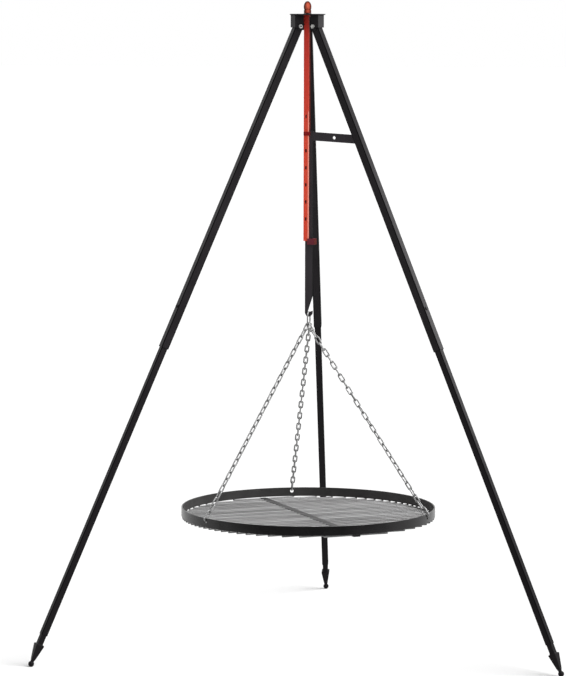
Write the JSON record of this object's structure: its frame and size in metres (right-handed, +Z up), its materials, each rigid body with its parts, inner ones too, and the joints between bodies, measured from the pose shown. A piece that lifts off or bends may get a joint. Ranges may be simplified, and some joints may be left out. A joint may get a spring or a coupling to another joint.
{
  "type": "tripod_grill",
  "caption": "Black steel tripod with telescopic legs and a red swivelling height rail; a sliding hook bar carries a round grate on chains",
  "frame": {"origin": "centre of the bounding box at ground level, between the feet", "axes": "+Z up, +Y from the front towards the back leg, +X to the right seen from the front"},
  "size_m": [1.423, 1.2346, 1.7656],
  "materials": {
    "black_paint": "satin",
    "red_paint": "satin",
    "red_knob": "gloss",
    "zinc": "bright zinc",
    "chain_zinc": "galvanised",
    "rod_steel": "drawn steel"
  },
  "bodies": {
    "head": {"head_disc": "black_paint", "leg_bracket_back": "black_paint", "leg_bracket_left": "black_paint", "leg_bracket_right": "black_paint", "pivot_bolts": "zinc", "pivot_nuts": "zinc"},
    "upper_back": {"leg_upper_back": "black_paint", "clamp_screw_back": "black_paint"},
    "lower_back": {"leg_lower_back": "black_paint", "foot_back": "black_paint"},
    "upper_left": {"leg_upper_left": "black_paint", "clamp_screw_left": "black_paint"},
    "lower_left": {"leg_lower_left": "black_paint", "foot_left": "black_paint"},
    "upper_right": {"leg_upper_right": "black_paint", "clamp_screw_right": "black_paint"},
    "lower_right": {"leg_lower_right": "black_paint", "foot_right": "black_paint"},
    "rail": {"lift_rail": "red_paint", "rail_cap": "red_paint", "rail_stud": "zinc", "rail_washer": "zinc", "rail_knob": "red_knob", "rail_strap": "red_paint"},
    "hook": {"hook_bar": "black_paint", "lift_handle": "black_paint", "height_catch": "black_paint", "catch_button": "black_paint"},
    "link": {"master_link": "chain_zinc"},
    "grate": {"chain_back": "chain_zinc", "chain_left": "chain_zinc", "chain_right": "chain_zinc", "rim_links": "chain_zinc", "grate_rim": "black_paint", "grate_rods": "rod_steel", "grate_cross_bar": "black_paint"}
  },
  "joints": [
    {"name": "leg_pivot_back", "type": "hinge", "parent": "head", "child": "upper_back", "pos_m": [0, -0.1751, 1.69732], "axis": [-1, 0, 0], "range_deg": [0, 6]},
    {"name": "leg_slide_back", "type": "slide", "parent": "upper_back", "child": "lower_back", "axis": [0, -0.421, 0.907], "range_m": [0, 0.78]},
    {"name": "leg_pivot_left", "type": "hinge", "parent": "head", "child": "upper_left", "pos_m": [-0.02425, -0.2171, 1.69732], "axis": [0.5, -0.866, 0], "range_deg": [0, 6]},
    {"name": "leg_slide_left", "type": "slide", "parent": "upper_left", "child": "lower_left", "axis": [0.3646, 0.2105, 0.907], "range_m": [0, 0.78]},
    {"name": "leg_pivot_right", "type": "hinge", "parent": "head", "child": "upper_right", "pos_m": [0.02425, -0.2171, 1.69732], "axis": [0.5, 0.866, 0], "range_deg": [0, 6]},
    {"name": "leg_slide_right", "type": "slide", "parent": "upper_right", "child": "lower_right", "axis": [-0.3646, 0.2105, 0.907], "range_m": [0, 0.78]},
    {"name": "rail_swivel", "type": "hinge", "parent": "head", "child": "rail", "pos_m": [0, -0.2031, 1.72802], "axis": [0, 0, 1], "range_deg": [-5, 85]},
    {"name": "hook_lift", "type": "slide", "parent": "rail", "child": "hook", "axis": [0, 0, 1], "range_m": [-0.233, 0.0466]},
    {"name": "link_swing", "type": "hinge", "parent": "hook", "child": "link", "pos_m": [0.00567, -0.20472, 0.91831], "axis": [0.2756, 0.9613, 0], "range_deg": [-8, 8]},
    {"name": "grate_swing", "type": "hinge", "parent": "link", "child": "grate", "pos_m": [0.00567, -0.20472, 0.89131], "axis": [0.9613, -0.2756, 0], "range_deg": [-8, 8]}
  ]
}
